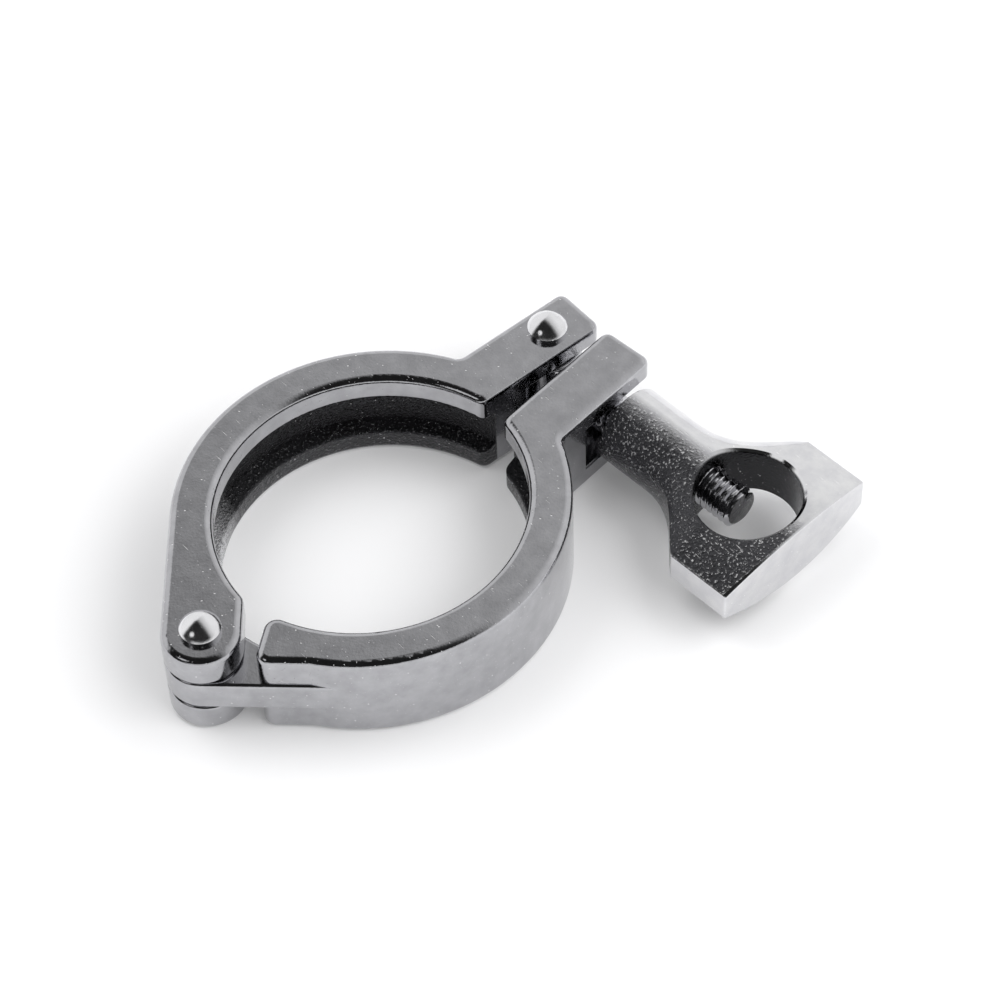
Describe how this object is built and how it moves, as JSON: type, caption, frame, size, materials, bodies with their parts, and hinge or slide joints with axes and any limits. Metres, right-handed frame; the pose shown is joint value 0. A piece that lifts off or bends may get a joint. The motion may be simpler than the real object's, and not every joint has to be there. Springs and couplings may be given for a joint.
{
  "type": "sanitary hinged clamp",
  "caption": "Hinged ring clamp for sanitary tube ferrules: two V-grooved cast halves on a rivet, closed by a swing bolt and wing nut.",
  "frame": {"origin": "centre of half A's ferrule groove, on the bore's axis at mid height", "axes": "+Z along the bore, out of the face with the rivet heads; +X from the hinge rivet to the ears; half A lies on +Y"},
  "size_m": [0.1212, 0.0895, 0.0232],
  "materials": {
    "cast_steel": "tumbled and polished stainless casting",
    "rivet_steel": "polished stainless",
    "bolt_steel": "rolled stainless thread",
    "nut_steel": "as-cast and tumbled stainless"
  },
  "bodies": {
    "half_a": {"half_a": "cast_steel", "hinge_rivet": "rivet_steel", "bolt_rivet": "rivet_steel"},
    "half_b": {"half_b": "cast_steel"},
    "swing_bolt": {"swing_bolt": "bolt_steel"},
    "wing_nut": {"wing_nut": "nut_steel"}
  },
  "joints": [
    {"name": "bolt_swing", "type": "hinge", "parent": "half_a", "child": "swing_bolt", "pos_m": [0.0501, 0.0128, 0], "axis": [0, 0, 1], "range_deg": [0, 200]},
    {"name": "nut_travel", "type": "slide", "parent": "swing_bolt", "child": "wing_nut", "axis": [0.0802, -0.9968, 0], "range_m": [0, 0.0255]},
    {"name": "half_hinge", "type": "hinge", "parent": "half_a", "child": "half_b", "pos_m": [-0.0405, 0, 0], "axis": [0, 0, -1], "range_deg": [0, 16]}
  ],
  "couplings": [
    {"joint": "nut_travel", "follows": "bolt_swing", "m_per_rad": 0.0073052},
    {"joint": "half_hinge", "follows": "bolt_swing", "ratio": 0.08}
  ]
}
